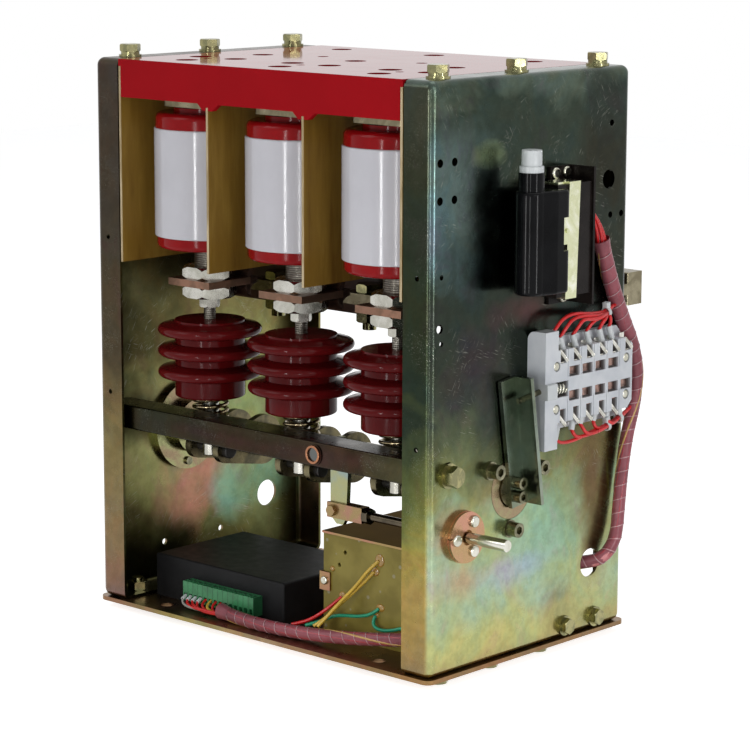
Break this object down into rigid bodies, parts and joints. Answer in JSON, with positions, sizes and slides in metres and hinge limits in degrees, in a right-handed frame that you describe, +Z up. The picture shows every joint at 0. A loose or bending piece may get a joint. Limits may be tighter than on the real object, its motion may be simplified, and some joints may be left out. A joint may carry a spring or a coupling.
{
  "type": "vacuum circuit breaker",
  "caption": "Open-frame low-voltage vacuum circuit breaker with ceramic bottles, ribbed insulators, crank shaft, trip rod, closing magnet and control box.",
  "frame": {"origin": "middle of the base plate's underside, midway between its four mounting holes", "axes": "+X to the right side plate with the release, +Y to the back where the lower terminals stick out, +Z up"},
  "size_m": [0.3637, 0.2912, 0.4067],
  "materials": {
    "zinc_side": "yellow chromate, iridescent",
    "zinc_yellow": "yellow chromate",
    "beam_zinc": "dark bronze chromate, scratched",
    "red_moulding": "glossy",
    "barrier_laminate": "brownish yellow laminate",
    "phenolic": "dark brown board",
    "ceramic": "glazed",
    "red_cap": "glossy",
    "insulator_resin": "glossy maroon",
    "copper_plate": "dull copper",
    "terminal_metal": "dull plated",
    "link_copper": "darkened laminated copper",
    "steel_zinc": "zinc plated",
    "bolt_yellow": "yellow chromate",
    "dark_steel": "dark",
    "spring_steel": "plated wire",
    "black_paint": "matte black",
    "black_gloss": "glossy black",
    "white_plastic": "white nylon",
    "switch_plastic": "pale blue-grey plastic",
    "green_plastic": "green",
    "board_laminate": "olive circuit board",
    "coil_tape": "wound coil",
    "wire_red": "red insulated wire"
  },
  "bodies": {
    "frame": {"aux_contacts": "steel_zinc", "aux_spring": "spring_steel", "aux_switch_body": "switch_plastic", "base_plate": "zinc_side", "bottle_caps": "red_cap", "circuit_board": "board_laminate", "control_box": "black_paint", "cross_beam": "beam_zinc", "flexible_link_1": "link_copper", "flexible_link_2": "link_copper", "flexible_link_3": "link_copper", "harness": "wire_red", "hex_bolts": "bolt_yellow", "leads": "wire_red", "left_side_plate": "zinc_side", "lower_terminals": "terminal_metal", "magnet_coil": "coil_tape", "magnet_frame": "beam_zinc", "pan_screws": "bolt_yellow", "phase_barriers": "barrier_laminate", "rear_board": "phenolic", "release_bracket": "black_paint", "release_cap": "white_plastic", "release_housing": "black_gloss", "release_strap": "zinc_yellow", "right_side_plate": "zinc_side", "shaft_bearings": "zinc_yellow", "socket_screws": "bolt_yellow", "terminal_block": "green_plastic", "top_board": "red_moulding", "top_board_rear": "red_moulding", "trip_guide": "zinc_yellow", "upper_terminals": "terminal_metal", "vacuum_bottle_1": "ceramic", "vacuum_bottle_2": "ceramic", "vacuum_bottle_3": "ceramic"},
    "shaft": {"main_shaft": "beam_zinc", "crank_pins": "dark_steel", "shaft_lever": "zinc_side", "lever_screws": "bolt_yellow"},
    "slider": {"aux_slider": "white_plastic"},
    "trip_lever_body": {"trip_lever": "zinc_side"},
    "trip_rod_body": {"trip_rod": "steel_zinc", "trip_clevis": "zinc_yellow"},
    "plunger": {"magnet_plunger": "steel_zinc"},
    "pole_1": {"contact_stem_1": "copper_plate", "stem_nuts_1": "steel_zinc", "insulator_1": "insulator_resin", "pull_rod_1": "steel_zinc", "contact_spring_1": "spring_steel"},
    "pole_2": {"contact_stem_2": "copper_plate", "stem_nuts_2": "steel_zinc", "insulator_2": "insulator_resin", "pull_rod_2": "steel_zinc", "contact_spring_2": "spring_steel"},
    "pole_3": {"contact_stem_3": "copper_plate", "stem_nuts_3": "steel_zinc", "insulator_3": "insulator_resin", "pull_rod_3": "steel_zinc", "contact_spring_3": "spring_steel"}
  },
  "joints": [
    {"name": "shaft_turn", "type": "hinge", "parent": "frame", "child": "shaft", "pos_m": [0, -0.02, 0.118], "axis": [-1, 0, 0], "range_deg": [0, 6], "stiffness_Nm_per_rad": 12, "springref_deg": -2.86},
    {"name": "pole_1_lift", "type": "slide", "parent": "frame", "child": "pole_1", "axis": [0, 0, 1], "range_m": [0, 0.004], "deforming": ["flexible_link_1"]},
    {"name": "pole_2_lift", "type": "slide", "parent": "frame", "child": "pole_2", "axis": [0, 0, 1], "range_m": [0, 0.004], "deforming": ["flexible_link_2"]},
    {"name": "pole_3_lift", "type": "slide", "parent": "frame", "child": "pole_3", "axis": [0, 0, 1], "range_m": [0, 0.004], "deforming": ["flexible_link_3"]},
    {"name": "switch_slide", "type": "slide", "parent": "frame", "child": "slider", "axis": [0, 1, 0], "range_m": [0, 0.0068], "deforming": ["aux_spring"]},
    {"name": "magnet_pull", "type": "slide", "parent": "frame", "child": "plunger", "axis": [0, 0, -1], "range_m": [0, 0.0045]},
    {"name": "trip_swing", "type": "hinge", "parent": "frame", "child": "trip_lever_body", "pos_m": [0.0494, -0.0845, 0.137], "axis": [0, 1, 0], "range_deg": [0, 7], "stiffness_Nm_per_rad": 0.8, "springref_deg": -2.86},
    {"name": "trip_push", "type": "slide", "parent": "frame", "child": "trip_rod_body", "axis": [-1, 0, 0], "range_m": [0, 0.0054]}
  ],
  "couplings": [
    {"joint": "pole_1_lift", "follows": "shaft_turn", "m_per_rad": 0.0375},
    {"joint": "pole_2_lift", "follows": "shaft_turn", "m_per_rad": 0.0375},
    {"joint": "pole_3_lift", "follows": "shaft_turn", "m_per_rad": 0.0375},
    {"joint": "switch_slide", "follows": "shaft_turn", "m_per_rad": 0.0644},
    {"joint": "magnet_pull", "follows": "shaft_turn", "m_per_rad": 0.042},
    {"joint": "trip_push", "follows": "trip_swing", "m_per_rad": 0.043}
  ]
}
